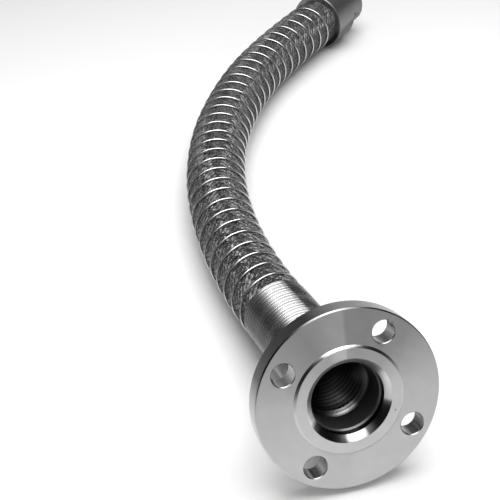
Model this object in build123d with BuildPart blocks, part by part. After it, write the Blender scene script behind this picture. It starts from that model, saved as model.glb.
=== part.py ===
from build123d import *
from math import cos, sin, tan, pi, radians
import os

# A braided vacuum bellows hose that lies on a floor, with its flange standing on the rim.
# +Z is up, the flange looks toward -Y and leans back, and the origin is the centre of its raised face.
# Distances "from the face" are measured along the hose's centre line.

# flange
FLANGE_T = 17.5
RIM_BEVEL = 1.0
FACE_R = 45.6
FACE_STEP = 1.6
FACE_BEVEL = 0.5
MOUTH_BEVEL = 4.9
HOLE_R = 9.525
FACE_TO_HOLE = 5.175
HOLE_TO_RIM = 6.375
HOLE_COUNT = 4
FIRST_HOLE_ANGLE = 58.35
HOLE_BEVEL = 0.7
FACE_TILT = 19.3

# pipe stubs
PIPE_R = 30.15
PIPE_WALL = 1.65
PIPE_BEVEL = 0.5
BORE_CLEARANCE = 0.15
NEAR_TUBE_START = 12.0
NEAR_TUBE_LENGTH = 21.5

# weld beads, which are part of the stubs
BEAD_LEG = 4.0
BEAD_GAP = 0.05
BEAD_TOE = 0.35
BORE_BEAD_LENGTH = 2.2
BORE_BEAD_SLOPE = 1.2

# bellows
BELLOWS_CREST_R = 29.85
BELLOWS_DEPTH = 2.6
BELLOWS_WALL = 0.8
BELLOWS_PITCH = 6.0
BELLOWS_OPEN_RIBS = 8
BELLOWS_BUTT_GAP = 0.1

# braid
BRAID_CLEARANCE = 0.15
BRAID_WALL = 0.95
BRAID_START = 25.5
BRAID_IN_FERRULE = 42.0

# near ring and far collar
NEAR_FERRULE_START = 23.5
NEAR_FERRULE_LENGTH = 10.0
NEAR_FERRULE_WALL = 2.9
FERRULE_CLEARANCE = 0.1
FERRULE_BEVEL = 0.8
FAR_FERRULE_START = 870.0
FAR_FERRULE_LENGTH = 45.0
FAR_FERRULE_WALL = 6.75
FAR_STUB_OUT = 42.0
TUBE_IN_FERRULE = 18.0

# guard spring
WIRE_D = 1.95
WIRE_CLEARANCE = 0.25
COIL_GAP = 0.3
COIL_END = 168.0
COIL_RIB_PITCH = 12.0
COIL_RIB_DEPTH = 1.0
GUARD_PITCH = 20.55
GUARD_DRAWN_PITCH = 22.1
GUARD_DRAWN_FROM = 592.0
GUARD_END = 857.0
GUARD_PHASE = -170.0
GUARD_STEPS = 16

# centre line: straight runs joined by tangent arcs
FIRST_BEND = 52.0
ARC_SHARE = 0.45
LAYER_SPANS = 22

# radii that follow from the sizes above, from the inside out
bore_r = PIPE_R + BORE_CLEARANCE
pipe_inner_r = PIPE_R - PIPE_WALL
braid_inner_r = PIPE_R + BRAID_CLEARANCE
braid_outer_r = braid_inner_r + BRAID_WALL
ferrule_inner_r = braid_outer_r + FERRULE_CLEARANCE
near_ferrule_r = ferrule_inner_r + NEAR_FERRULE_WALL
far_ferrule_r = ferrule_inner_r + FAR_FERRULE_WALL
wire_inner_r = braid_outer_r + WIRE_CLEARANCE
guard_r = wire_inner_r + WIRE_D
# The guard wire is a chain of flats, so its corners stand out by the sagitta of one step.
corner = 1 / cos(pi / GUARD_STEPS)
guard_corner_r = guard_r * (1 + corner) / 2

axis_y = cos(radians(FACE_TILT))
axis_z = -sin(radians(FACE_TILT))

# The bolt circle clears the raised face, and the rim clears the bolt holes.
hole_circle_r = FACE_R + FACE_TO_HOLE + HOLE_R
flange_r = hole_circle_r + HOLE_R + HOLE_TO_RIM
flange_back_at = FACE_STEP + FLANGE_T

# The flange stands on the lower edge of its back, and the hose and the collar lie on the same floor.
floor_z = (flange_back_at - RIM_BEVEL) * axis_z - flange_r * axis_y
hose_rest_z = floor_z + guard_corner_r
collar_rest_z = floor_z + far_ferrule_r
ROUTE = [
    (0.0, axis_y * NEAR_TUBE_START, axis_z * NEAR_TUBE_START),
    (0.0, axis_y * FIRST_BEND, axis_z * FIRST_BEND),
    (-1.3, 117.8, -33.0),
    (-13.5, 212.4, -43.3),
    (-16.2, 308.2, hose_rest_z),
    (-4.5, 398.9, hose_rest_z),
    (22.3, 488.8, hose_rest_z),
    (62.4, 569.4, hose_rest_z),
    (111.9, 644.6, hose_rest_z),
    (163.9, 701.6, -42.7),
    (215.5, 749.5, collar_rest_z),
    (321.0, 844.9, collar_rest_z),
]


def bend_radii(points):
    radii = []
    for before, here, after in zip(points, points[1:], points[2:]):
        run_in = Vector(*here) - Vector(*before)
        run_out = Vector(*after) - Vector(*here)
        half_turn = radians(run_in.get_angle(run_out)) / 2
        radii.append(ARC_SHARE * min(run_in.length, run_out.length) / tan(half_turn))
    return radii


RADII = bend_radii(ROUTE)
print("centre line radii:", [round(r, 1) for r in RADII])

with BuildLine() as route:
    FilletPolyline(*ROUTE, radius=RADII)
route_wire = route.wires()[0]


def on_route(distance):
    return route_wire.position_at(distance - NEAR_TUBE_START, position_mode=PositionMode.LENGTH)


def tangent_at(distance):
    return route_wire.tangent_at(distance - NEAR_TUBE_START, position_mode=PositionMode.LENGTH)


# The hose's layers share the same stations, so they stay evenly clear of each other round the bends.
bend_start = FIRST_BEND - ARC_SHARE * (FIRST_BEND - NEAR_TUBE_START)
bend_end = FAR_FERRULE_START - 10.0
span = (bend_end - bend_start) / LAYER_SPANS
stations = [bend_start + i * span for i in range(LAYER_SPANS + 1)]


def point_at(distance):
    # Straight between two stations, and on the route itself before the first bend and after the last.
    if distance <= bend_start or distance >= bend_end:
        return on_route(distance)
    i = min(int((distance - bend_start) / span), LAYER_SPANS - 1)
    share = (distance - stations[i]) / span
    return on_route(stations[i]) * (1 - share) + on_route(stations[i + 1]) * share


def station(distance):
    # A plane square to the centre line, with its X to the left and its Y upward.
    along = tangent_at(distance)
    left = Vector(0, 0, 1).cross(along)
    return Plane(origin=point_at(distance), x_dir=left, z_dir=along)


def layer_stations(first, last):
    between = [s for s in stations if first + 1.0 < s < last - 1.0]
    return [first] + between + [last]


face = Plane(origin=(0, 0, 0), x_dir=(1, 0, 0), z_dir=(0, -axis_y, -axis_z))
flange_front = face.offset(-FACE_STEP)
near_tube_end = NEAR_TUBE_START + NEAR_TUBE_LENGTH
braid_end = FAR_FERRULE_START + BRAID_IN_FERRULE
far_ferrule_end = FAR_FERRULE_START + FAR_FERRULE_LENGTH
far_tube_start = FAR_FERRULE_START + TUBE_IN_FERRULE
far_tube_end = far_ferrule_end + FAR_STUB_OUT
print("outer radius over the guard wire:", round(guard_r, 2), "over the collar:", round(far_ferrule_r, 2))
print("centre line length:", round(route_wire.length + NEAR_TUBE_START, 1), "used to", far_tube_end)

# flange: disc, raised face, bore with a wide mouth bevel, four bolt holes
with BuildPart() as flange:
    with BuildSketch(flange_front):
        Circle(flange_r)
    extrude(amount=-FLANGE_T)
    chamfer(flange.edges().filter_by(GeomType.CIRCLE), RIM_BEVEL)
    with BuildSketch(flange_front):
        Circle(FACE_R)
    extrude(amount=FACE_STEP)
    chamfer(flange.edges().filter_by(lambda e: e.geom_type == GeomType.CIRCLE
                                     and abs(e.radius - FACE_R) < 0.01).sort_by(Axis.Y)[0], FACE_BEVEL)
    with BuildSketch(face):
        Circle(bore_r)
    extrude(amount=-flange_back_at, mode=Mode.SUBTRACT)
    chamfer(flange.edges().filter_by(lambda e: e.geom_type == GeomType.CIRCLE
                                     and abs(e.radius - bore_r) < 0.01).sort_by(Axis.Y)[0], MOUTH_BEVEL)
    with BuildSketch(flange_front):
        with PolarLocations(hole_circle_r, HOLE_COUNT, start_angle=FIRST_HOLE_ANGLE):
            Circle(HOLE_R)
    extrude(amount=-FLANGE_T, mode=Mode.SUBTRACT)
    chamfer(flange.edges().filter_by(lambda e: e.geom_type == GeomType.CIRCLE
                                     and abs(e.radius - HOLE_R) < 0.01)
            .sort_by(lambda e: e.arc_center.dot(face.z_dir))[-HOLE_COUNT:], HOLE_BEVEL)

# near pipe stub, with the seal bead in the bore and the fillet bead behind the flange
with BuildPart() as near_tube:
    with BuildSketch(face.offset(-near_tube_end)):
        Circle(PIPE_R)
    extrude(amount=NEAR_TUBE_LENGTH)
    with BuildSketch(face.offset(-NEAR_TUBE_START)):
        Circle(bore_r - BEAD_GAP)
    extrude(amount=BORE_BEAD_LENGTH)
    with BuildSketch(face.offset(-(flange_back_at + BEAD_GAP))):
        Circle(PIPE_R + BEAD_LEG)
    with BuildSketch(face.offset(-(flange_back_at + BEAD_GAP + BEAD_LEG))):
        Circle(PIPE_R + BEAD_TOE)
    loft(ruled=True)
    with BuildSketch(face.offset(-near_tube_end)):
        Circle(pipe_inner_r)
    extrude(amount=NEAR_TUBE_LENGTH + BORE_BEAD_LENGTH, mode=Mode.SUBTRACT)
    chamfer(near_tube.edges().filter_by(lambda e: e.geom_type == GeomType.CIRCLE
                                        and abs(e.radius - pipe_inner_r) < 0.01).sort_by(Axis.Y)[0],
            BORE_BEAD_SLOPE)

# bellows: open ribs by the near stub, plain under the braid
bellows_start = near_tube_end + BELLOWS_BUTT_GAP
bellows_end = far_tube_start - BELLOWS_BUTT_GAP
ribs_end = bellows_start + BELLOWS_OPEN_RIBS * BELLOWS_PITCH
root_r = BELLOWS_CREST_R - BELLOWS_DEPTH
with BuildPart() as bellows:
    for half_rib in range(2 * BELLOWS_OPEN_RIBS):
        with BuildSketch(station(bellows_start + half_rib * BELLOWS_PITCH / 2)):
            Circle(BELLOWS_CREST_R if half_rib % 2 == 0 else root_r)
    for distance in layer_stations(ribs_end, bellows_end):
        with BuildSketch(station(distance)):
            Circle(BELLOWS_CREST_R)
    loft(ruled=True)
    for half_rib in range(2 * BELLOWS_OPEN_RIBS):
        with BuildSketch(station(bellows_start + half_rib * BELLOWS_PITCH / 2)):
            Circle((BELLOWS_CREST_R if half_rib % 2 == 0 else root_r) - BELLOWS_WALL)
    for distance in layer_stations(ribs_end, bellows_end):
        with BuildSketch(station(distance)):
            Circle(BELLOWS_CREST_R - BELLOWS_WALL)
    loft(ruled=True, mode=Mode.SUBTRACT)

# braid over the bellows and both stubs
with BuildPart() as braid_sleeve:
    for distance in layer_stations(BRAID_START, braid_end):
        with BuildSketch(station(distance)):
            Circle(braid_outer_r)
    loft(ruled=True)
    for distance in layer_stations(BRAID_START, braid_end):
        with BuildSketch(station(distance)):
            Circle(braid_inner_r)
    loft(ruled=True, mode=Mode.SUBTRACT)

# near ring that holds the braid
with BuildPart() as near_ferrule:
    with BuildSketch(face.offset(-NEAR_FERRULE_START)):
        Circle(near_ferrule_r)
        Circle(ferrule_inner_r, mode=Mode.SUBTRACT)
    extrude(amount=-NEAR_FERRULE_LENGTH)
    chamfer(near_ferrule.edges().filter_by(lambda e: e.geom_type == GeomType.CIRCLE
                                           and abs(e.radius - near_ferrule_r) < 0.01), FERRULE_BEVEL)

# guard spring: close coil as a ribbed sleeve, then the open right-hand helix
coil_start = NEAR_FERRULE_START + NEAR_FERRULE_LENGTH + COIL_GAP
coil_ribs = round((COIL_END - coil_start) / COIL_RIB_PITCH)
coil_half = (COIL_END - coil_start) / coil_ribs / 2


def guard_turns(distance):
    # Turns made since the end of the close coil.
    near = min(distance, GUARD_DRAWN_FROM) - COIL_END
    drawn = max(distance - GUARD_DRAWN_FROM, 0.0)
    return near / GUARD_PITCH + drawn / GUARD_DRAWN_PITCH


def guard_distance(turns):
    near_turns = (GUARD_DRAWN_FROM - COIL_END) / GUARD_PITCH
    return COIL_END + min(turns, near_turns) * GUARD_PITCH + max(turns - near_turns, 0.0) * GUARD_DRAWN_PITCH


def wire_section(distance, turn):
    # A plane across the wire, with its X pointing away from the centre line.
    square = station(distance)
    outward = square.x_dir * cos(turn) + square.y_dir * sin(turn)
    middle_r = (wire_inner_r * corner + guard_corner_r) / 2
    return Plane(origin=square.origin + outward * middle_r, x_dir=outward, z_dir=square.z_dir.cross(outward))


with BuildPart() as guard_spring:
    for half_rib in range(2 * coil_ribs + 1):
        with BuildSketch(station(coil_start + half_rib * coil_half)):
            Circle(guard_r if half_rib % 2 == 1 else guard_r - COIL_RIB_DEPTH)
    loft(ruled=True)
    for distance in layer_stations(coil_start, COIL_END):
        with BuildSketch(station(distance)):
            Circle(wire_inner_r)
    loft(ruled=True, mode=Mode.SUBTRACT)
    sections = round(guard_turns(GUARD_END) * GUARD_STEPS)
    for step in range(-1, sections + 1):
        turn = radians(360 * step / GUARD_STEPS + GUARD_PHASE)
        with BuildSketch(wire_section(guard_distance(step / GUARD_STEPS), turn)):
            RegularPolygon(WIRE_D / 2, 4)
    loft(ruled=True)

# far collar
with BuildPart() as far_ferrule:
    with BuildSketch(station(FAR_FERRULE_START)):
        Circle(far_ferrule_r)
        Circle(ferrule_inner_r, mode=Mode.SUBTRACT)
    extrude(amount=FAR_FERRULE_LENGTH)
    chamfer(far_ferrule.edges().filter_by(lambda e: e.geom_type == GeomType.CIRCLE
                                          and abs(e.radius - far_ferrule_r) < 0.01), FERRULE_BEVEL)

# far pipe stub, with the fillet bead that closes the collar
with BuildPart() as far_tube:
    with BuildSketch(station(far_tube_start)):
        Circle(PIPE_R)
    extrude(amount=far_tube_end - far_tube_start)
    with BuildSketch(station(far_ferrule_end + BEAD_GAP)):
        Circle(PIPE_R + BEAD_LEG)
    with BuildSketch(station(far_ferrule_end + BEAD_GAP + BEAD_LEG)):
        Circle(PIPE_R + BEAD_TOE)
    loft(ruled=True)
    with BuildSketch(station(far_tube_start)):
        Circle(pipe_inner_r)
    extrude(amount=far_tube_end - far_tube_start, mode=Mode.SUBTRACT)
    chamfer(far_tube.edges().filter_by(lambda e: e.geom_type == GeomType.CIRCLE
                                       and abs(e.radius - PIPE_R) < 0.01).sort_by(Axis.Y)[-1], PIPE_BEVEL)

os.makedirs("parts", exist_ok=True)
flange.part.label = "flange"
export_step(flange.part, "parts/flange.step")
near_tube.part.label = "near_tube"
export_step(near_tube.part, "parts/near_tube.step")
bellows.part.label = "bellows"
export_step(bellows.part, "parts/bellows.step")
braid_sleeve.part.label = "braid_sleeve"
export_step(braid_sleeve.part, "parts/braid_sleeve.step")
near_ferrule.part.label = "near_ferrule"
export_step(near_ferrule.part, "parts/near_ferrule.step")
guard_spring.part.label = "guard_spring"
export_step(guard_spring.part, "parts/guard_spring.step")
far_ferrule.part.label = "far_ferrule"
export_step(far_ferrule.part, "parts/far_ferrule.step")
far_tube.part.label = "far_tube"
export_step(far_tube.part, "parts/far_tube.step")
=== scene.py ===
"""A braided vacuum bellows hose that lies on a pale floor, with its flange standing on the rim.

Every size is in metres. +Z is up, the flange looks toward -Y, and the origin is the centre of its raised
face. Distances along the hose are measured from the raised face on the hose's centre line.
"""

import math

import bpy
from mathutils import Matrix, Vector


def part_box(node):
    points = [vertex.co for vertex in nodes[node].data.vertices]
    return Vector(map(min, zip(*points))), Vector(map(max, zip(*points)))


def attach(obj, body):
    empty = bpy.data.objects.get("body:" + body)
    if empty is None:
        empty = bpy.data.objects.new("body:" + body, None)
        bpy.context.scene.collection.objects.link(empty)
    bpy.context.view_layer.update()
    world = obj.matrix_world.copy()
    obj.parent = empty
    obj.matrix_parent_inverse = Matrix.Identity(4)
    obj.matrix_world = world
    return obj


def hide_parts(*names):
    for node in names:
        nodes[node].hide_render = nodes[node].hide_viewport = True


bl_info = {
    "name": "Vacuum Bellows Hose",
    "version": (1, 0, 0),
    "blender": (4, 5, 0),
    "location": "3D View > Sidebar > Bellows Hose",
    "description": "Builds a braided vacuum hose with a bolted flange, a coiled guard wire and a far collar",
    "category": "Add Mesh",
}

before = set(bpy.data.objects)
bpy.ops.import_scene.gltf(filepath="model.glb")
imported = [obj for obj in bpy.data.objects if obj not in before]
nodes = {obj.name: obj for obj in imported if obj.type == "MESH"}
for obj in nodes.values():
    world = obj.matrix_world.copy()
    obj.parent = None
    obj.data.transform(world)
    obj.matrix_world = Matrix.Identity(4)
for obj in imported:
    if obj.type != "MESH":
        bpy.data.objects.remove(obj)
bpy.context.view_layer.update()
FLOOR_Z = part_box("flange")[0][2]

# The flange leans back from upright by this angle, and AXIS runs from its face into the hose.
FACE_TILT = math.radians(19.3)
AXIS = Vector((0.0, math.cos(FACE_TILT), -math.sin(FACE_TILT)))
FACE_NORMAL = -AXIS
FACE_RIGHT = Vector((1.0, 0.0, 0.0))
FACE_UP = AXIS.cross(FACE_RIGHT) * -1.0

# The hose's centre line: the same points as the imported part's route, with two more on its straight ends.
ROUTE_START = 0.012
HOSE_Z = -0.04412
COLLAR_Z = -0.0398
ROUTE = [
    AXIS * ROUTE_START,
    AXIS * 0.034,
    AXIS * 0.052,
    Vector((-0.0013, 0.1178, -0.0330)),
    Vector((-0.0135, 0.2124, -0.0433)),
    Vector((-0.0162, 0.3082, HOSE_Z)),
    Vector((-0.0045, 0.3989, HOSE_Z)),
    Vector((0.0223, 0.4888, HOSE_Z)),
    Vector((0.0624, 0.5694, HOSE_Z)),
    Vector((0.1119, 0.6446, HOSE_Z)),
    Vector((0.1639, 0.7016, -0.0427)),
    Vector((0.2155, 0.7495, COLLAR_Z)),
    Vector((0.2410, 0.77256, COLLAR_Z)),
    Vector((0.3210, 0.8449, COLLAR_Z)),
]

# Where each layer starts and ends along the hose.
BELLOWS_START, BELLOWS_END = 0.0337, 0.8878
BRAID_START, BRAID_END = 0.0255, 0.912
WEAVE_START, WEAVE_END = 0.164, 0.873
FAR_STUB_END = 0.957

BELLOWS_CREST, BELLOWS_ROOT, BELLOWS_WALL = 0.0297, 0.0270, 0.0004
BELLOWS_SIDES = 40
STEPS_PER_RIB = 4

SLEEVE_INNER_RADIUS = 0.0303
SLEEVE_BELOW_WEAVE = 0.0006
SLEEVE_SIDES = 64
SLEEVE_STEPS = 220

FLANGE_SIDES = 256
RIM_BEVEL = 0.0010
BOLT_HOLES = 4
HOLE_SIDES = 72
HOLE_FLARE = 0.0007


class HoseSizes(bpy.types.PropertyGroup):
    """Sizes of the hose's layers and its flange."""

    flange_radius: bpy.props.FloatProperty(
        name="Flange Radius", description="Outer radius of the flange", default=0.0762, unit="LENGTH")
    flange_back: bpy.props.FloatProperty(
        name="Flange Back", description="Depth of the flange's back behind the raised face",
        default=0.0191, unit="LENGTH")
    face_radius: bpy.props.FloatProperty(
        name="Raised Face Radius", description="Radius of the raised sealing face", default=0.0456,
        unit="LENGTH")
    face_step: bpy.props.FloatProperty(
        name="Raised Face Height", description="Height of the raised face over the rim", default=0.0016,
        unit="LENGTH")
    bore_radius: bpy.props.FloatProperty(
        name="Bore Radius", description="Radius of the flange's bore", default=0.0303, unit="LENGTH")
    mouth_bevel: bpy.props.FloatProperty(
        name="Mouth Bevel", description="Width of the bevel at the bore's mouth", default=0.0049,
        unit="LENGTH")
    hole_radius: bpy.props.FloatProperty(
        name="Hole Radius", description="Radius of each bolt hole", default=0.009525, unit="LENGTH")
    hole_circle: bpy.props.FloatProperty(
        name="Hole Circle Radius", description="Radius of the circle through the bolt holes", default=0.0603,
        unit="LENGTH")
    first_hole: bpy.props.FloatProperty(
        name="First Hole Angle", description="Angle of the first bolt hole, from the right",
        default=math.radians(58.35), subtype="ANGLE")
    braid_radius: bpy.props.FloatProperty(
        name="Braid Radius", description="Outer radius of the woven braid", default=0.0314, unit="LENGTH")
    braid_wires: bpy.props.IntProperty(
        name="Braid Bands", description="Flat wire bands that run each way round", default=30, min=8)
    braid_lay: bpy.props.FloatProperty(
        name="Braid Lay", description="Length in which a band goes once round", default=0.205, unit="LENGTH")
    wire_radius: bpy.props.FloatProperty(
        name="Guard Wire Radius", description="Radius of the guard wire", default=0.000975, unit="LENGTH")
    guard_centre: bpy.props.FloatProperty(
        name="Guard Coil Radius", description="Radius of the guard wire's own centre line",
        default=0.03247, unit="LENGTH")
    coil_start: bpy.props.FloatProperty(
        name="Close Coil Start", description="Where the close coil starts", default=0.0349, unit="LENGTH")
    coil_end: bpy.props.FloatProperty(
        name="Close Coil End", description="Where the close coil opens", default=0.168, unit="LENGTH")
    guard_pitch: bpy.props.FloatProperty(
        name="Guard Pitch", description="Pitch of the open turns", default=0.02055, unit="LENGTH")
    drawn_pitch: bpy.props.FloatProperty(
        name="Drawn Pitch", description="Pitch of the turns that are drawn out further", default=0.0221,
        unit="LENGTH")
    drawn_from: bpy.props.FloatProperty(
        name="Drawn From", description="Where the turns are drawn out further", default=0.592, unit="LENGTH")
    guard_end: bpy.props.FloatProperty(
        name="Guard End", description="Where the guard wire ends", default=0.857, unit="LENGTH")
    guard_phase: bpy.props.FloatProperty(
        name="Guard Phase", description="Angle at which the wire leaves the close coil",
        default=math.radians(-170.0), subtype="ANGLE")
    rib_pitch: bpy.props.FloatProperty(
        name="Bellows Pitch", description="Pitch of the bellows' ribs", default=0.00520, unit="LENGTH")


class HoseColours(bpy.types.PropertyGroup):
    """Tints of the hose's steels and of the floor. White leaves the tones as they are."""

    turned: bpy.props.FloatVectorProperty(
        name="Turned Steel", description="Tint of the flange, the ring, the collar and the stubs",
        subtype="COLOR", size=3, default=(1.0, 1.0, 1.0), min=0.0, max=1.0)
    wire: bpy.props.FloatVectorProperty(
        name="Guard Wire", description="Tint of the guard wire", subtype="COLOR", size=3,
        default=(1.0, 1.0, 1.0), min=0.0, max=1.0)
    braid: bpy.props.FloatVectorProperty(
        name="Braid", description="Tint of the woven braid", subtype="COLOR", size=3,
        default=(1.0, 1.0, 1.0), min=0.0, max=1.0)
    floor: bpy.props.FloatVectorProperty(
        name="Floor", description="Tint of the pale floor", subtype="COLOR", size=3,
        default=(1.0, 1.0, 1.0), min=0.0, max=1.0)


# ---------------------------------------------------------------- centre line


def centre_line_points():
    """Points along the hose's smooth centre line, read from a spline through the route."""
    curve = bpy.data.curves.new("Centre Line", "CURVE")
    curve.dimensions = "3D"
    curve.resolution_u = 24
    spline = curve.splines.new("NURBS")
    spline.points.add(len(ROUTE) - 1)
    for point, place in zip(spline.points, ROUTE):
        point.co = (*place, 1.0)
    spline.order_u = 3
    spline.use_endpoint_u = True
    line = bpy.data.objects.new("Centre Line", curve)
    bpy.context.collection.objects.link(line)
    bpy.context.view_layer.update()
    mesh = bpy.data.meshes.new_from_object(line)
    points = [vertex.co.copy() for vertex in mesh.vertices]
    bpy.data.meshes.remove(mesh)
    bpy.data.objects.remove(line)
    bpy.data.curves.remove(curve)
    return points


def point_around(station, turn, radius):
    """A point at a radius round a station of the centre line, turned from the left upward."""
    place, _, left, up = station
    return place + left * (math.cos(turn) * radius) + up * (math.sin(turn) * radius)


class CentreLine:
    """Gives the place and the directions at any distance along the hose."""

    def __init__(self):
        self.points = centre_line_points()
        self.distances = [ROUTE_START]
        for before, here in zip(self.points, self.points[1:]):
            self.distances.append(self.distances[-1] + (here - before).length)
        self.tangents = []
        last = len(self.points) - 1
        for i in range(last + 1):
            ahead = self.points[min(i + 1, last)] - self.points[max(i - 1, 0)]
            self.tangents.append(ahead.normalized())

    def at(self, distance):
        """Place, direction along, direction to the left and direction upward."""
        low, high = 0, len(self.points) - 1
        while high - low > 1:
            middle = (low + high) // 2
            if self.distances[middle] <= distance:
                low = middle
            else:
                high = middle
        share = (distance - self.distances[low]) / (self.distances[high] - self.distances[low])
        place = self.points[low].lerp(self.points[high], share)
        along = self.tangents[low].lerp(self.tangents[high], share).normalized()
        left = Vector((0.0, 0.0, 1.0)).cross(along).normalized()
        return place, along, left, along.cross(left)

    def around(self, distance, turn, radius):
        """A point at a radius round the line, turned from the left upward."""
        return point_around(self.at(distance), turn, radius)


# ---------------------------------------------------------------- modelling helpers


def deselect_everything():
    """Leave nothing selected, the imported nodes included."""
    for other in bpy.context.selected_objects:
        other.select_set(False)


def make_active(piece):
    """Select one piece alone and make it active."""
    deselect_everything()
    piece.select_set(True)
    bpy.context.view_layer.objects.active = piece


def mesh_piece(name, vertices, faces):
    """An object with its own mesh, linked to the scene."""
    mesh = bpy.data.meshes.new(name)
    mesh.from_pydata(vertices, [], faces)
    mesh.update()
    piece = bpy.data.objects.new(name, mesh)
    bpy.context.collection.objects.link(piece)
    return piece


def smooth(piece, degrees):
    """Smooth shading, with edges sharper than the angle left crisp."""
    make_active(piece)
    bpy.ops.object.shade_smooth_by_angle(angle=math.radians(degrees))


def stand_along(piece, place, direction):
    """Move a piece made round Z to a place, with its Z along a direction, and keep that in its mesh."""
    turn = direction.to_track_quat("Z", "Y").to_matrix().to_4x4()
    piece.matrix_world = Matrix.Translation(place) @ turn
    bpy.ops.object.transform_apply(location=True, rotation=True, scale=True)


def ring_tube(name, line, profile, sides):
    """A closed tube, ring by ring round the hose along a closed profile of distances and radii."""
    vertices, faces = [], []
    for distance, radius in profile:
        station = line.at(distance)
        for side in range(sides):
            vertices.append(point_around(station, math.tau * side / sides, radius))
    count = len(profile)
    for ring in range(count):
        following = (ring + 1) % count
        for side in range(sides):
            beside = (side + 1) % sides
            faces.append((ring * sides + side, ring * sides + beside, following * sides + beside,
                          following * sides + side))
    return mesh_piece(name, vertices, faces)


def turn_profile(name, profile, sides, place, direction):
    """A ring-shaped solid, grown from a circle by extruding and resizing it along a closed profile."""
    deselect_everything()
    first_radius, first_height = profile[0]
    bpy.ops.mesh.primitive_circle_add(vertices=sides, radius=first_radius, location=(0, 0, first_height))
    piece = bpy.context.object
    piece.name = name
    bpy.ops.object.transform_apply(location=True, rotation=True, scale=True)
    bpy.ops.object.mode_set(mode="EDIT")
    bpy.ops.mesh.select_all(action="SELECT")
    radius, height = first_radius, first_height
    for next_radius, next_height in profile[1:] + profile[:1]:
        bpy.ops.mesh.extrude_edges_move(
            MESH_OT_extrude_edges_indiv={},
            TRANSFORM_OT_translate={"value": (0, 0, next_height - height)})
        ratio = next_radius / radius
        bpy.ops.transform.resize(value=(ratio, ratio, 1), center_override=(0, 0, 0))
        radius, height = next_radius, next_height
    bpy.ops.mesh.select_all(action="SELECT")
    bpy.ops.mesh.remove_doubles(threshold=1e-6)
    bpy.ops.mesh.normals_make_consistent(inside=False)
    bpy.ops.object.mode_set(mode="OBJECT")
    stand_along(piece, place, direction)
    return piece


def coordinates(tree, place, direction):
    """Object coordinates turned so that Z runs along a direction from a place."""
    source = tree.nodes.new("ShaderNodeTexCoord")
    move = tree.nodes.new("ShaderNodeVectorMath")
    move.operation = "SUBTRACT"
    move.inputs[1].default_value = place
    tree.links.new(source.outputs["Object"], move.inputs[0])
    up = direction.cross(FACE_RIGHT).normalized()
    parts = tree.nodes.new("ShaderNodeCombineXYZ")
    for index, axis in enumerate((FACE_RIGHT, up, direction)):
        dot = tree.nodes.new("ShaderNodeVectorMath")
        dot.operation = "DOT_PRODUCT"
        dot.inputs[1].default_value = axis
        tree.links.new(move.outputs[0], dot.inputs[0])
        tree.links.new(dot.outputs["Value"], parts.inputs[index])
    return parts.outputs[0]


def node_math(tree, operation, first, second=None):
    """A math node fed by numbers or by other nodes' outputs."""
    node = tree.nodes.new("ShaderNodeMath")
    node.operation = operation
    for index, value in enumerate((first, second)):
        if value is None:
            continue
        if isinstance(value, (int, float)):
            node.inputs[index].default_value = value
        else:
            tree.links.new(value, node.inputs[index])
    return node.outputs[0]


def tone_ramp(tree, factor, tones, tint=(1.0, 1.0, 1.0)):
    """A ramp through grey tones, each at its position, under a tint."""
    ramp = tree.nodes.new("ShaderNodeValToRGB")
    elements = ramp.color_ramp.elements
    while len(elements) > 1:
        elements.remove(elements[-1])
    elements[0].position = tones[0][0]
    for index, (position, tone) in enumerate(tones):
        element = elements.new(position) if index else elements[0]
        element.color = (*(tone * part for part in tint), 1.0)
    tree.links.new(factor, ramp.inputs[0])
    return ramp.outputs["Color"]


def fine_noise(tree, vector, scale, detail):
    """A noise pattern's value over a vector."""
    noise = tree.nodes.new("ShaderNodeTexNoise")
    noise.inputs["Scale"].default_value = scale
    noise.inputs["Detail"].default_value = detail
    tree.links.new(vector, noise.inputs["Vector"])
    return noise.outputs[0]


def multiply_colour(tree, shader, colour, factor):
    """Send a colour times a factor to the shader's base colour."""
    mix = tree.nodes.new("ShaderNodeMix")
    mix.data_type = "RGBA"
    mix.blend_type = "MULTIPLY"
    mix.inputs["Factor"].default_value = 1.0
    tree.links.new(colour, mix.inputs["A"])
    tree.links.new(factor, mix.inputs["B"])
    tree.links.new(mix.outputs["Result"], shader.inputs["Base Color"])


def add_bump(tree, shader, height, strength, distance):
    """Fine relief from a height value."""
    bump = tree.nodes.new("ShaderNodeBump")
    bump.inputs["Strength"].default_value = strength
    bump.inputs["Distance"].default_value = distance
    tree.links.new(height, bump.inputs["Height"])
    tree.links.new(bump.outputs[0], shader.inputs["Normal"])


def mix_shaders(tree, factor, first, second):
    """The first shader where the factor is nought and the second where it is one."""
    mix = tree.nodes.new("ShaderNodeMixShader")
    for index, output in enumerate((factor, first, second)):
        tree.links.new(output, mix.inputs[index])
    return mix.outputs[0]


def new_material(name, metallic, roughness, tone=None):
    """A material, its node tree and its shader, with a plain grey tone if one is given."""
    material = bpy.data.materials.new(name)
    material.use_nodes = True
    shader = material.node_tree.nodes["Principled BSDF"]
    if tone is not None:
        shader.inputs["Base Color"].default_value = (tone, tone, tone, 1.0)
    shader.inputs["Metallic"].default_value = metallic
    shader.inputs["Roughness"].default_value = roughness
    return material, material.node_tree, shader


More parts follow.
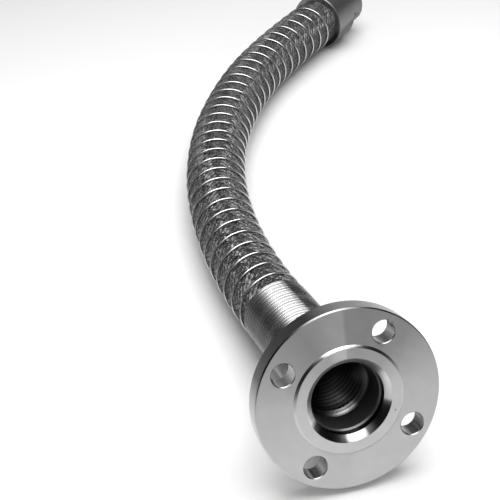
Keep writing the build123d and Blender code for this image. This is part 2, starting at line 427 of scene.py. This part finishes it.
def turned_steel(name, tint, tones, metallic=0.55, roughness=0.34, place=(0.0, 0.0, 0.0),
                 direction=FACE_NORMAL):
    """Turned steel with highlight and shade painted into its colour round its axis, with fine rings from the
    tool and faint stains.
    """
    groove_width, groove_depth, groove_strength = 0.0004, 0.0002, 0.12
    groove_share, stain_share, least = 0.14, 0.16, 0.85
    material, tree, shader = new_material(name, metallic, roughness)
    local = coordinates(tree, place, direction)
    split = tree.nodes.new("ShaderNodeSeparateXYZ")
    tree.links.new(local, split.inputs[0])
    angle = node_math(tree, "ARCTAN2", split.outputs[1], split.outputs[0])
    share = node_math(tree, "FRACT", node_math(tree, "ADD", node_math(tree, "DIVIDE", angle, math.tau), 1.0))
    tone = tone_ramp(tree, share, tones, tint)
    square = node_math(tree, "ADD", node_math(tree, "POWER", split.outputs[0], 2.0),
                       node_math(tree, "POWER", split.outputs[1], 2.0))
    rings = tree.nodes.new("ShaderNodeCombineXYZ")
    tree.links.new(node_math(tree, "SQRT", square), rings.inputs[0])
    tree.links.new(split.outputs[2], rings.inputs[2])
    grooves = fine_noise(tree, rings.outputs[0], scale=1.0 / groove_width, detail=1.0)
    stains = fine_noise(tree, local, scale=90.0, detail=3.0)
    vary = node_math(tree, "ADD", node_math(tree, "MULTIPLY", grooves, groove_share),
                     node_math(tree, "MULTIPLY", stains, stain_share))
    multiply_colour(tree, shader, tone, node_math(tree, "ADD", vary, least))
    add_bump(tree, shader, grooves, strength=groove_strength, distance=groove_depth)
    return material


# ---------------------------------------------------------------- painted highlight and shade of the steels

# Each list gives the share of a turn from the right, counter-clockwise, and the tone there. The tones paint
# highlight and shade round each part's axis.
# The disc outside the raised face, with a painted sheen of highlight and shade.
FACE_PAINTED_LIGHT = [(0.0, 0.487), (0.03, 0.452), (0.08, 0.365), (0.12, 0.27), (0.20, 0.244), (0.249, 0.252),
              (0.251, 0.348), (0.28, 0.331), (0.33, 0.252), (0.40, 0.331), (0.45, 0.4), (0.49, 0.479),
              (0.62, 0.531), (0.74, 0.487), (0.76, 0.522), (0.90, 0.505), (1.0, 0.487)]
# The raised face, with a painted sheen of highlight and shade.
RAISED_PAINTED_LIGHT = [(0.0, 0.539), (0.04, 0.522), (0.08, 0.452), (0.12, 0.365), (0.20, 0.331), (0.249, 0.348),
                (0.251, 0.487), (0.28, 0.505), (0.31, 0.365), (0.36, 0.4), (0.42, 0.47), (0.50, 0.539),
                (0.62, 0.566), (0.80, 0.548), (1.0, 0.539)]
# The disc's outer side, with a dark band of painted shade and painted highlight elsewhere.
SIDE_PAINTED_LIGHT = [(0.0, 0.45), (0.12, 0.26), (0.20, 0.30), (0.25, 0.42), (0.28, 0.26), (0.31, 0.03),
              (0.40, 0.008), (0.435, 0.03), (0.465, 0.25), (0.52, 0.52), (0.62, 0.50), (1.0, 0.45)]
# The bevel at the mouth, with a bright painted highlight and dark painted shade.
MOUTH_PAINTED_LIGHT = [(0.0, 0.58), (0.028, 0.62), (0.056, 0.68), (0.083, 0.62), (0.108, 0.22), (0.139, 0.16),
               (0.25, 0.26), (0.278, 0.32), (0.31, 0.28), (0.44, 0.24), (0.472, 0.28), (0.5, 0.58),
               (0.528, 0.92), (0.558, 0.98), (0.580, 0.10), (0.611, 0.008), (0.667, 0.004), (0.694, 0.02),
               (0.725, 0.06), (0.738, 0.36), (0.770, 0.60), (0.806, 0.40), (0.820, 0.05), (0.861, 0.004),
               (0.944, 0.012), (0.962, 0.10), (0.972, 0.50), (1.0, 0.58)]
# The bore behind the mouth: dark painted shade, with a stripe of painted highlight.
BORE_PAINTED_LIGHT = [(0.0, 0.03), (0.10, 0.05), (0.2, 0.02), (0.45, 0.015), (0.5, 0.04), (0.6, 0.01), (0.71, 0.02),
              (0.73, 0.20), (0.78, 0.26), (0.80, 0.05), (0.85, 0.01), (1.0, 0.03)]
# The bevel at the rim, with a painted highlight line and painted shade.
RIM_PAINTED_LIGHT = [(0.0, 0.34), (0.03, 0.30), (0.055, 0.22), (0.11, 0.10), (0.17, 0.03), (0.215, 0.04),
             (0.24, 0.12), (0.26, 0.24), (0.28, 0.28), (0.30, 0.18), (0.325, 0.06), (0.35, 0.02),
             (0.38, 0.01), (0.42, 0.015), (0.45, 0.14), (0.48, 0.38), (0.58, 0.62), (0.75, 0.66),
             (0.83, 0.34), (0.90, 0.29), (1.0, 0.34)]
# The step up to the raised face, with painted highlights and painted shade.
STEP_PAINTED_LIGHT = [(0.0, 0.60), (0.05, 0.48), (0.083, 0.32), (0.111, 0.16), (0.139, 0.09), (0.167, 0.06),
              (0.194, 0.10), (0.222, 0.36), (0.245, 0.70), (0.305, 0.74), (0.325, 0.14), (0.361, 0.05),
              (0.389, 0.03), (0.417, 0.05), (0.444, 0.15), (0.472, 0.40), (0.51, 0.55), (0.75, 0.60),
              (1.0, 0.60)]
# The bolt holes, with painted shade that is darker on two sides.
DRILL_PAINTED_SHADE = [(0.0, 0.30), (0.25, 0.22), (0.5, 0.30), (0.75, 0.22), (1.0, 0.30)]
# The back and the near ring, with painted shade that is darker on two sides.
PLAIN_PAINTED_SHADE = [(0.0, 0.48), (0.25, 0.36), (0.5, 0.48), (0.75, 0.42), (1.0, 0.48)]
# The guard wire, with a painted highlight on one side of each turn and painted shade on the other.
WIRE_PAINTED_LIGHT = [(0.0, 0.60), (0.14, 0.56), (0.20, 0.56), (0.235, 0.58), (0.26, 0.70), (0.29, 0.72),
              (0.312, 0.55), (0.335, 0.30), (0.36, 0.22), (0.40, 0.18), (0.445, 0.20), (0.475, 0.38),
              (0.50, 0.58), (0.56, 0.62), (1.0, 0.60)]
# The far collar and stub, with painted shade and a painted highlight.
COLLAR_PAINTED_LIGHT = [(0.0, 0.18), (0.06, 0.156), (0.10, 0.06), (0.16, 0.048), (0.19, 0.018), (0.23, 0.18),
                (0.28, 0.3), (0.33, 0.06), (0.45, 0.048), (0.5, 0.21), (1.0, 0.18)]
# The near stub: painted shade, a little lighter round one side.
NEAR_STUB_PAINTED_SHADE = [(0.0, 0.05), (0.5, 0.07), (0.7, 0.10), (1.0, 0.05)]

# Name, painted highlight and shade tones, metallic share and roughness of the flange's finishes.
FLANGE_FINISHES = (
    ("Turned Face", FACE_PAINTED_LIGHT, 0.55, 0.36),
    ("Raised Face", RAISED_PAINTED_LIGHT, 0.55, 0.36),
    ("Turned Rim", RIM_PAINTED_LIGHT, 0.9, 0.3),
    ("Turned Side", SIDE_PAINTED_LIGHT, 1.0, 0.30),
    ("Face Step", STEP_PAINTED_LIGHT, 0.9, 0.3),
    ("Turned Mouth", MOUTH_PAINTED_LIGHT, 0.6, 0.28),
    ("Bored Wall", BORE_PAINTED_LIGHT, 1.0, 0.3),
    ("Turned Back", PLAIN_PAINTED_SHADE, 0.6, 0.36),
    ("Drilled Wall", DRILL_PAINTED_SHADE, 0.95, 0.25),
)

# A tiny pit in the raised face, near its lower right edge, shown only as painted shade.
PIT_PLACE = FACE_RIGHT * 0.0371 - FACE_UP * 0.0156
PIT_RADIUS = 0.0006
PIT_SHADE_TONE = 0.08


# ---------------------------------------------------------------- pieces


class HOSE_OT_flange(bpy.types.Operator):
    """Add the four-hole flange with its raised face and bevelled bore"""

    bl_idname = "bellows_hose.flange"
    bl_label = "Add Flange"

    def execute(self, context):
        sizes = context.scene.bellows_hose
        colours = context.scene.bellows_hose_colours
        back, front = -sizes.flange_back, -sizes.face_step
        rim, face, bore = sizes.flange_radius, sizes.face_radius, sizes.bore_radius
        mouth = bore + sizes.mouth_bevel
        corner, lip = 0.0003, 0.0002
        round_width, round_shoulder, round_depth = 0.0019, 0.0008, 0.0006
        profile = [
            (bore, back),
            (rim - RIM_BEVEL, back),
            (rim, back + RIM_BEVEL),
            (rim, front - RIM_BEVEL),
            (rim - RIM_BEVEL, front),
            (face + corner, front),
            (face, front + corner),
            (face - round_shoulder, -round_depth),
            (face - round_width, 0.0),
            (mouth + lip, 0.0),
            (mouth - lip / 2, -lip),
            (bore + lip, -sizes.mouth_bevel + lip),
            (bore, -sizes.mouth_bevel - lip),
        ]
        flange = turn_profile("flange_disc", profile, FLANGE_SIDES, (0, 0, 0), FACE_NORMAL)
        for index in range(BOLT_HOLES):
            angle = sizes.first_hole + index * math.tau / BOLT_HOLES
            centre = (FACE_RIGHT * math.cos(angle) + FACE_UP * math.sin(angle)) * sizes.hole_circle
            self.cut_hole(flange, self.add_hole_cutter(sizes, centre))
        self.lay_materials(flange, sizes, colours)
        smooth(flange, degrees=28.0)
        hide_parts("flange")
        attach(flange, "root")
        return {"FINISHED"}

    def add_hole_cutter(self, sizes, centre):
        """A drill with a flare at each face of the disc, which runs on past the face."""
        hole, flare = sizes.hole_radius, HOLE_FLARE
        past, past_widening = 0.002, 1.25
        end_facing = 0.99
        front, back = -sizes.face_step, -sizes.flange_back
        deselect_everything()
        bpy.ops.mesh.primitive_cylinder_add(vertices=HOLE_SIDES, radius=hole,
                                            depth=front - back - 2 * flare,
                                            location=(0, 0, (front + back) / 2))
        cutter = bpy.context.object
        bpy.ops.object.transform_apply(location=True, rotation=True, scale=True)
        for sign in (1.0, -1.0):
            for widen, rise in (((hole + flare) / hole, flare), (past_widening, past)):
                bpy.ops.object.mode_set(mode="EDIT")
                bpy.ops.mesh.select_mode(type="FACE")
                bpy.ops.mesh.select_all(action="DESELECT")
                bpy.ops.object.mode_set(mode="OBJECT")
                for polygon in cutter.data.polygons:
                    polygon.select = polygon.normal.z * sign > end_facing
                bpy.ops.object.mode_set(mode="EDIT")
                bpy.ops.mesh.extrude_region_move(TRANSFORM_OT_translate={"value": (0, 0, rise * sign)})
                bpy.ops.transform.resize(value=(widen, widen, 1), center_override=(0, 0, 0))
                bpy.ops.object.mode_set(mode="OBJECT")
        stand_along(cutter, centre, FACE_NORMAL)
        return cutter

    def cut_hole(self, flange, cutter):
        """Take the cutter's shape out of the disc and remove the cutter."""
        make_active(flange)
        modifier = flange.modifiers.new("Bolt Hole", "BOOLEAN")
        modifier.operation = "DIFFERENCE"
        modifier.object = cutter
        bpy.ops.object.modifier_apply(modifier="Bolt Hole")
        mesh = cutter.data
        bpy.data.objects.remove(cutter)
        bpy.data.meshes.remove(mesh)

    def lay_materials(self, flange, sizes, colours):
        """One turned finish for the faces and others for the narrow bevels, by where each face lies, each
        with its own painted highlight and shade.
        """
        finish = {}
        for name, tones, metallic, roughness in FLANGE_FINISHES:
            finish[name] = len(finish)
            flange.data.materials.append(turned_steel(name, colours.turned, tones, metallic, roughness))
        self.paint_pit_shade(flange.data.materials["Raised Face"])
        flat, steep = 0.99, 0.3
        near_rim = sizes.flange_radius - RIM_BEVEL - 0.0002
        in_mouth = sizes.bore_radius + sizes.mouth_bevel + 0.0003
        in_step = sizes.face_radius + 0.0007
        for polygon in flange.data.polygons:
            height = polygon.center.dot(FACE_NORMAL)
            radius = (polygon.center - FACE_NORMAL * height).length
            facing = polygon.normal.dot(FACE_NORMAL)
            if facing > flat:
                name = "Raised Face" if radius < sizes.face_radius else "Turned Face"
            elif radius > near_rim and abs(facing) < steep:
                name = "Turned Side"
            elif radius > near_rim and facing > 0:
                name = "Turned Rim"
            elif radius < in_mouth:
                name = "Turned Mouth" if facing > steep else "Bored Wall"
            elif radius < in_step and height > -sizes.face_step:
                name = "Face Step"
            elif radius > near_rim or facing < -0.9:
                name = "Turned Back"
            else:
                name = "Drilled Wall"
            polygon.material_index = finish[name]

    def paint_pit_shade(self, material):
        """Paint the pit's shade: darken the raised face where the pit is."""
        tree = material.node_tree
        shader = tree.nodes["Principled BSDF"]
        source = tree.nodes.new("ShaderNodeTexCoord")
        gap = tree.nodes.new("ShaderNodeVectorMath")
        gap.operation = "DISTANCE"
        gap.inputs[1].default_value = PIT_PLACE
        tree.links.new(source.outputs["Object"], gap.inputs[0])
        outside = node_math(tree, "GREATER_THAN", gap.outputs["Value"], PIT_RADIUS)
        pit_shade = node_math(tree, "ADD", node_math(tree, "MULTIPLY", outside, 1.0 - PIT_SHADE_TONE), PIT_SHADE_TONE)
        multiply_colour(tree, shader, shader.inputs["Base Color"].links[0].from_socket, pit_shade)


class HOSE_OT_bellows(bpy.types.Operator):
    """Add the thin corrugated bellows that runs through the hose"""

    bl_idname = "bellows_hose.bellows"
    bl_label = "Add Bellows"

    def execute(self, context):
        sizes = context.scene.bellows_hose
        line = CentreLine()
        length = BELLOWS_END - BELLOWS_START
        steps = round(length / sizes.rib_pitch) * STEPS_PER_RIB
        rings = []
        for step in range(steps + 1):
            swing = math.cos(step * math.tau / STEPS_PER_RIB)
            radius = (BELLOWS_CREST + BELLOWS_ROOT) / 2 + (BELLOWS_CREST - BELLOWS_ROOT) / 2 * swing
            rings.append((BELLOWS_START + length * step / steps, radius))
        profile = rings + [(distance, radius - BELLOWS_WALL) for distance, radius in reversed(rings)]
        bellows = ring_tube("bellows_tube", line, profile, BELLOWS_SIDES)
        smooth(bellows, degrees=25.0)
        # A dark steel of painted shade inside the hose, and a lighter copy of painted highlight.
        for name, tone in (("Bellows Painted Shade Steel", 0.06), ("Bellows Painted Highlight Steel", 0.17)):
            material, _, _ = new_material(name, metallic=1.0, roughness=0.24, tone=tone)
            bellows.data.materials.append(material)
        # Seen from the mouth, one inner face of each rib gets the lighter copy, a painted highlight.
        for polygon in bellows.data.polygons:
            ring = polygon.index // BELLOWS_SIDES
            if ring >= len(rings) and (len(profile) - 2 - ring) % STEPS_PER_RIB == 1:
                polygon.material_index = 1
        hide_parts("bellows")
        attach(bellows, "root")
        return {"FINISHED"}


class HOSE_OT_braid(bpy.types.Operator):
    """Add the woven wire braid over the bellows"""

    bl_idname = "bellows_hose.braid"
    bl_label = "Add Braid"

    def execute(self, context):
        sizes = context.scene.bellows_hose
        colours = context.scene.bellows_hose_colours
        line = CentreLine()
        sleeve = self.add_shade_sleeve(line, sizes)
        weave = self.add_weave(line, sizes)
        # The sleeve's near-black material is painted shade between the bands.
        gap_shade, _, _ = new_material("Braid Gap Shade", metallic=0.0, roughness=0.7, tone=0.012)
        sleeve.data.materials.append(gap_shade)
        weave.data.materials.append(self.braid_steel(colours))
        make_active(weave)
        sleeve.select_set(True)
        bpy.ops.object.join()
        weave.name = "woven_braid"
        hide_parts("braid_sleeve")
        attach(weave, "root")
        return {"FINISHED"}

    def add_shade_sleeve(self, line, sizes):
        """A closed dark sleeve under the weave, painted shade that shows between the bands."""
        outer, inner = sizes.braid_radius - SLEEVE_BELOW_WEAVE, SLEEVE_INNER_RADIUS
        length = BRAID_END - BRAID_START
        distances = [BRAID_START + length * step / SLEEVE_STEPS for step in range(SLEEVE_STEPS + 1)]
        profile = [(d, outer) for d in distances] + [(d, inner) for d in reversed(distances)]
        sleeve = ring_tube("braid_under_sleeve", line, profile, SLEEVE_SIDES)
        smooth(sleeve, degrees=60.0)
        return sleeve

    def add_weave(self, line, sizes):
        """Flat bands of wires that run both ways round and pass over two and under two."""
        bands, lay = sizes.braid_wires, sizes.braid_lay
        step_length, band_share, squareness = 0.0021, 0.37, 1.8
        sunk, lift_height, crown = 0.00040, 0.00026, 0.00012
        grain_along, grain_per_band = 60.0, 0.37
        length = WEAVE_END - WEAVE_START
        steps = int(length / step_length)
        half_width = math.tau * sizes.braid_radius / bands * band_share
        crossings = 2.0 * bands / lay
        stations = [line.at(WEAVE_START + length * step / steps) for step in range(steps + 1)]
        vertices, faces, across = [], [], []
        for way in (1, -1):
            for band in range(bands):
                start = len(vertices)
                for step, station in enumerate(stations):
                    distance = length * step / steps
                    turn = way * math.tau * (distance / lay + band / bands)
                    phase = math.pi * (crossings * distance / 2 + band * way)
                    lift = math.sin(phase / 2 + math.pi / 4) * way
                    lift = max(-1.0, min(1.0, lift * squareness))
                    middle = sizes.braid_radius - sunk + lift_height * lift
                    for edge in (-1.0, 0.0, 1.0):
                        radius = middle + (crown if edge == 0.0 else 0.0)
                        offset = turn + edge * half_width / sizes.braid_radius
                        vertices.append(point_around(station, offset, radius))
                        across.append(((edge + 1.0) / 2.0, distance * grain_along + band * grain_per_band))
                for step in range(steps):
                    low = start + step * 3
                    for lane in (0, 1):
                        faces.append((low + lane, low + lane + 1, low + lane + 4, low + lane + 3))
        weave = mesh_piece("woven_braid", vertices, faces)
        layer = weave.data.uv_layers.new(name="Band")
        for loop in weave.data.loops:
            layer.data[loop.index].uv = across[loop.vertex_index]
        smooth(weave, degrees=60.0)
        return weave

    def braid_steel(self, colours):
        """Fine wires that lie side by side in each band, some brighter than others."""
        wires, streaks_across, streaks_along = 5, 5.0, 6.0
        streak_tones = [(0.32, 0.015), (0.47, 0.055), (0.58, 0.18), (0.69, 0.60)]
        material, tree, shader = new_material("Braid Steel", metallic=0.9, roughness=0.34)
        uv = tree.nodes.new("ShaderNodeUVMap")
        uv.uv_map = "Band"
        split = tree.nodes.new("ShaderNodeSeparateXYZ")
        tree.links.new(uv.outputs[0], split.inputs[0])
        wave = node_math(tree, "SINE", node_math(tree, "MULTIPLY", split.outputs[0], math.tau * wires))
        stretch = tree.nodes.new("ShaderNodeCombineXYZ")
        tree.links.new(node_math(tree, "MULTIPLY", split.outputs[0], streaks_across), stretch.inputs[0])
        tree.links.new(node_math(tree, "MULTIPLY", split.outputs[1], streaks_along), stretch.inputs[1])
        streaks = fine_noise(tree, stretch.outputs[0], scale=1.0, detail=2.0)
        tone = tone_ramp(tree, streaks, streak_tones, colours.braid)
        tree.links.new(tone, shader.inputs["Base Color"])
        add_bump(tree, shader, wave, strength=0.6, distance=0.0003)
        return material


class HOSE_OT_guard(bpy.types.Operator):
    """Add the guard wire: close turns behind the flange, then the open right-hand helix"""

    bl_idname = "bellows_hose.guard"
    bl_label = "Add Guard Wire"

    def execute(self, context):
        sizes = context.scene.bellows_hose
        colours = context.scene.bellows_hose_colours
        line = CentreLine()
        windings = self.plan_windings(sizes)
        points = [line.around(distance, turn, sizes.guard_centre) for turn, distance in windings]
        curve = bpy.data.curves.new("guard_wire", "CURVE")
        curve.dimensions = "3D"
        curve.bevel_depth = sizes.wire_radius
        curve.bevel_resolution = 2
        curve.use_fill_caps = True
        spline = curve.splines.new("POLY")
        spline.points.add(len(points) - 1)
        for point, place in zip(spline.points, points):
            point.co = (*place, 1.0)
        wire = bpy.data.objects.new("guard_wire", curve)
        bpy.context.collection.objects.link(wire)
        make_active(wire)
        bpy.ops.object.convert(target="MESH")
        wire = bpy.context.object
        smooth(wire, degrees=70.0)
        wire.data.materials.clear()
        self.note_windings(wire, windings)
        wire.data.materials.append(self.wire_steel(sizes, colours))
        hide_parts("guard_spring")
        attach(wire, "root")
        return {"FINISHED"}

    def plan_windings(self, sizes):
        """The wire's turn round the hose and its distance along it, step by step."""
        steps_per_close_turn, steps_per_open_turn = 44, 52
        windings = []
        close_pitch = sizes.wire_radius * 2.0
        close_turns = (sizes.coil_end - sizes.coil_start - sizes.wire_radius) / close_pitch
        steps = int(close_turns * steps_per_close_turn)
        for step in range(steps + 1):
            turns = close_turns * step / steps
            distance = sizes.coil_start + sizes.wire_radius + turns * close_pitch
            windings.append((math.tau * (turns - close_turns) + sizes.guard_phase, distance))
        near_turns = (sizes.drawn_from - sizes.coil_end) / sizes.guard_pitch
        open_turns = near_turns + (sizes.guard_end - sizes.drawn_from) / sizes.drawn_pitch
        steps = int(open_turns * steps_per_open_turn)
        for step in range(1, steps + 1):
            turns = open_turns * step / steps
            distance = (sizes.coil_end + min(turns, near_turns) * sizes.guard_pitch
                        + max(turns - near_turns, 0.0) * sizes.drawn_pitch)
            windings.append((math.tau * turns + sizes.guard_phase, distance))
        return windings

    def note_windings(self, wire, windings):
        """Keep each ring's turn round the hose and its distance along it on the mesh."""
        # Counted down from more turns than the wire has, so that the turns stay above nought.
        most_turns = 100.5
        mesh = wire.data
        ring = max(len(mesh.vertices) // len(windings), 1)
        turns = mesh.attributes.new("Winding Turn", "FLOAT", "POINT")
        distances = mesh.attributes.new("Winding Distance", "FLOAT", "POINT")
        for index in range(len(mesh.vertices)):
            turn, distance = windings[min(index // ring, len(windings) - 1)]
            turns.data[index].value = most_turns - turn / math.tau
            distances.data[index].value = distance

    def wire_steel(self, sizes, colours):
        """Drawn wire with highlight and shade painted round each turn, and painted shade that darkens the
        close coil and rises and falls along it.
        """
        wave_length, coil_shade, wave_height = 0.0047, 0.48, 0.17
        material, tree, shader = new_material("Guard Wire Steel", metallic=1.0, roughness=0.20)
        turn = tree.nodes.new("ShaderNodeAttribute")
        turn.attribute_name = "Winding Turn"
        distance = tree.nodes.new("ShaderNodeAttribute")
        distance.attribute_name = "Winding Distance"
        tone = tone_ramp(tree, node_math(tree, "FRACT", turn.outputs["Fac"]), WIRE_PAINTED_LIGHT, colours.wire)
        # Painted shade: the close coil is darker, and the darkening rises and falls along it so that its
        # turns read as lines.
        close = node_math(tree, "LESS_THAN", distance.outputs["Fac"], sizes.coil_end)
        along = node_math(tree, "MULTIPLY", distance.outputs["Fac"], math.tau / wave_length)
        wave = node_math(tree, "MULTIPLY", node_math(tree, "SINE", along), wave_height)
        coil_darkening = node_math(tree, "SUBTRACT", coil_shade, wave)
        factor = node_math(tree, "SUBTRACT", 1.0, node_math(tree, "MULTIPLY", close, coil_darkening))
        multiply_colour(tree, shader, tone, factor)
        return material


class HOSE_OT_fittings(bpy.types.Operator):
    """Finish the pipe stubs, the near ring and the far collar"""

    bl_idname = "bellows_hose.fittings"
    bl_label = "Finish Fittings"

    def execute(self, context):
        tint = context.scene.bellows_hose_colours.turned
        far_place, far_along, _, _ = CentreLine().at(FAR_STUB_END)
        # Each finish paints highlight and shade into the colour round its part's axis.
        finishes = {
            "near_tube": turned_steel("Near Stub Steel", tint, NEAR_STUB_PAINTED_SHADE, roughness=0.28),
            "near_ferrule": turned_steel("Near Ring Steel", tint, PLAIN_PAINTED_SHADE),
            "far_ferrule": turned_steel("Far Collar Steel", tint, COLLAR_PAINTED_LIGHT, metallic=0.9,
                                        place=far_place, direction=far_along),
            "far_tube": turned_steel("Far Stub Steel", tint, COLLAR_PAINTED_LIGHT, metallic=0.9,
                                     place=far_place, direction=far_along),
        }
        for name, material in finishes.items():
            node = nodes[name]
            node.data.materials.clear()
            node.data.materials.append(material)
        return {"FINISHED"}


# ---------------------------------------------------------------- stage

FLOOR_SIZE = 30.0
FLOOR_CENTRE = (0.1, 0.4)
# The floor lies a little below the flange, so that the two never share a plane.
FLOOR_GAP = 0.0003
# Painted shade: the floor darkens behind its centre, by the share of this reach.
FLOOR_REACH = 2.0
FLOOR_PAINTED_SHADE = [(0.0, 0.86), (0.05, 0.86), (0.40, 0.66), (1.0, 0.60)]
# How far from the floor's centre it starts to fade to white, and where it is all white.
FADE_START, FADE_END = 1.1, 2.6
FADE_WHITE = 0.97

# What the metal mirrors, from straight below to straight above, and the light that fills the shadows.
STUDIO_TONES = [(0.0, 0.8), (0.55, 0.8), (0.61, 0.07), (0.88, 0.07), (0.935, 2.4), (1.0, 2.6)]
STUDIO_FILL = 0.38

# Name, place, size and power of each lamp, and the point that they aim at.
LAMPS = (
    ("Key Panel", (0.15, 0.35, 1.6), 1.9, 36.0),
    ("Front Panel", (-0.6, -2.0, 1.0), 1.6, 7.0),
)
LAMPS_AIM = Vector((0.02, 0.3, -0.04))

CAMERA_PLACE = (-0.23199, -0.51778, 0.55303)
CAMERA_RIGHT = Vector((0.9599, -0.2803, 0.0))
CAMERA_UP = Vector((0.1648, 0.5642, 0.8090))
CAMERA_BACK = Vector((-0.22678, -0.77658, 0.58779))
CAMERA_LENS = 72.54
CAMERA_SENSOR = 36.0


class HOSE_OT_stage(bpy.types.Operator):
    """Add the pale floor, the studio light and the camera"""

    bl_idname = "bellows_hose.stage"
    bl_label = "Add Stage"

    def execute(self, context):
        colours = context.scene.bellows_hose_colours
        self.add_floor(colours)
        self.add_world()
        self.add_lamps()
        self.add_camera()
        context.scene.view_settings.view_transform = "Standard"
        return {"FINISHED"}

    def add_floor(self, colours):
        """A wide matt floor under the flange, the hose and the collar, darker behind with painted shade."""
        deselect_everything()
        bpy.ops.mesh.primitive_plane_add(size=FLOOR_SIZE, location=(*FLOOR_CENTRE, FLOOR_Z - FLOOR_GAP))
        floor = bpy.context.object
        floor.name = "Floor"
        material, tree, shader = new_material("Pale Floor", metallic=0.0, roughness=0.8)
        source = tree.nodes.new("ShaderNodeTexCoord")
        split = tree.nodes.new("ShaderNodeSeparateXYZ")
        tree.links.new(source.outputs["Object"], split.inputs[0])
        away = node_math(tree, "DIVIDE", split.outputs[1], FLOOR_REACH)
        tree.links.new(tone_ramp(tree, away, FLOOR_PAINTED_SHADE, colours.floor), shader.inputs["Base Color"])
        self.fade_to_white(tree, shader, source)
        floor.data.materials.append(material)

    def fade_to_white(self, tree, shader, source):
        """Far from the object the camera sees the floor as plain white, so it has no horizon line."""
        gap = tree.nodes.new("ShaderNodeVectorMath")
        gap.operation = "LENGTH"
        tree.links.new(source.outputs["Object"], gap.inputs[0])
        far = tree.nodes.new("ShaderNodeMapRange")
        far.interpolation_type = "SMOOTHSTEP"
        far.inputs["From Min"].default_value = FADE_START
        far.inputs["From Max"].default_value = FADE_END
        tree.links.new(gap.outputs["Value"], far.inputs["Value"])
        ray = tree.nodes.new("ShaderNodeLightPath")
        white = tree.nodes.new("ShaderNodeEmission")
        white.inputs["Strength"].default_value = FADE_WHITE
        faded = node_math(tree, "MULTIPLY", far.outputs["Result"], ray.outputs["Is Camera Ray"])
        surface = mix_shaders(tree, faded, shader.outputs[0], white.outputs[0])
        tree.links.new(surface, tree.nodes["Material Output"].inputs["Surface"])

    def add_world(self):
        """White behind the object, and a grey studio with a soft bright panel for the metal to mirror."""
        world = bpy.data.worlds.new("Studio")
        bpy.context.scene.world = world
        world.use_nodes = True
        tree = world.node_tree
        tree.nodes.clear()
        output = tree.nodes.new("ShaderNodeOutputWorld")
        ray = tree.nodes.new("ShaderNodeLightPath")
        source = tree.nodes.new("ShaderNodeTexCoord")
        split = tree.nodes.new("ShaderNodeSeparateXYZ")
        tree.links.new(source.outputs["Generated"], split.inputs[0])
        height = node_math(tree, "ADD", node_math(tree, "MULTIPLY", split.outputs[2], 0.5), 0.5)
        mirror = tree.nodes.new("ShaderNodeBackground")
        tree.links.new(tone_ramp(tree, height, STUDIO_TONES), mirror.inputs["Color"])
        fill, white = (tree.nodes.new("ShaderNodeBackground") for _ in range(2))
        for background, strength in ((fill, STUDIO_FILL), (white, 1.0)):
            background.inputs["Color"].default_value = (1.0, 1.0, 1.0, 1.0)
            background.inputs["Strength"].default_value = strength
        lit = mix_shaders(tree, ray.outputs["Is Glossy Ray"], fill.outputs[0], mirror.outputs[0])
        seen = mix_shaders(tree, ray.outputs["Is Camera Ray"], lit, white.outputs[0])
        tree.links.new(seen, output.inputs["Surface"])

    def add_lamps(self):
        """A large panel above the hose and a weaker one in front."""
        for name, place, size, power in LAMPS:
            deselect_everything()
            bpy.ops.object.light_add(type="AREA", location=place)
            lamp = bpy.context.object
            lamp.name = name
            lamp.data.shape = "DISK"
            lamp.data.size = size
            lamp.data.energy = power
            toward = LAMPS_AIM - Vector(place)
            lamp.rotation_euler = toward.to_track_quat("-Z", "Y").to_euler()

    def add_camera(self):
        """A camera in front of the flange and above it, which looks along the hose."""
        turn = Matrix((CAMERA_RIGHT, CAMERA_UP, CAMERA_BACK)).transposed().to_4x4()
        deselect_everything()
        bpy.ops.object.camera_add(location=(0, 0, 0))
        camera = bpy.context.object
        camera.matrix_world = Matrix.Translation(CAMERA_PLACE) @ turn
        camera.data.lens = CAMERA_LENS
        camera.data.sensor_width = CAMERA_SENSOR
        camera.data.clip_start = 0.01
        camera.data.clip_end = 60.0
        bpy.context.scene.camera = camera


class HOSE_PT_panel(bpy.types.Panel):
    """The hose's sizes, colours and building steps"""

    bl_idname = "HOSE_PT_panel"
    bl_label = "Bellows Hose"
    bl_space_type = "VIEW_3D"
    bl_region_type = "UI"
    bl_category = "Bellows Hose"

    def draw(self, context):
        layout = self.layout
        sizes = context.scene.bellows_hose
        colours = context.scene.bellows_hose_colours
        for name in HoseSizes.__annotations__:
            layout.prop(sizes, name)
        for name in HoseColours.__annotations__:
            layout.prop(colours, name)
        for step in STEPS:
            layout.operator(step.bl_idname)


STEPS = (HOSE_OT_flange, HOSE_OT_bellows, HOSE_OT_braid, HOSE_OT_guard, HOSE_OT_fittings, HOSE_OT_stage)
CLASSES = (HoseSizes, HoseColours) + STEPS + (HOSE_PT_panel,)


def register():
    """Register the classes and put both groups of settings on the scene."""
    for item in CLASSES:
        bpy.utils.register_class(item)
    bpy.types.Scene.bellows_hose = bpy.props.PointerProperty(type=HoseSizes)
    bpy.types.Scene.bellows_hose_colours = bpy.props.PointerProperty(type=HoseColours)


def unregister():
    """Take back what register did."""
    del bpy.types.Scene.bellows_hose_colours
    del bpy.types.Scene.bellows_hose
    for item in reversed(CLASSES):
        bpy.utils.unregister_class(item)


def main():
    register()
    bpy.ops.bellows_hose.flange()
    bpy.ops.bellows_hose.bellows()
    bpy.ops.bellows_hose.braid()
    bpy.ops.bellows_hose.guard()
    bpy.ops.bellows_hose.fittings()
    bpy.ops.bellows_hose.stage()


if __name__ == "__main__":
    main()
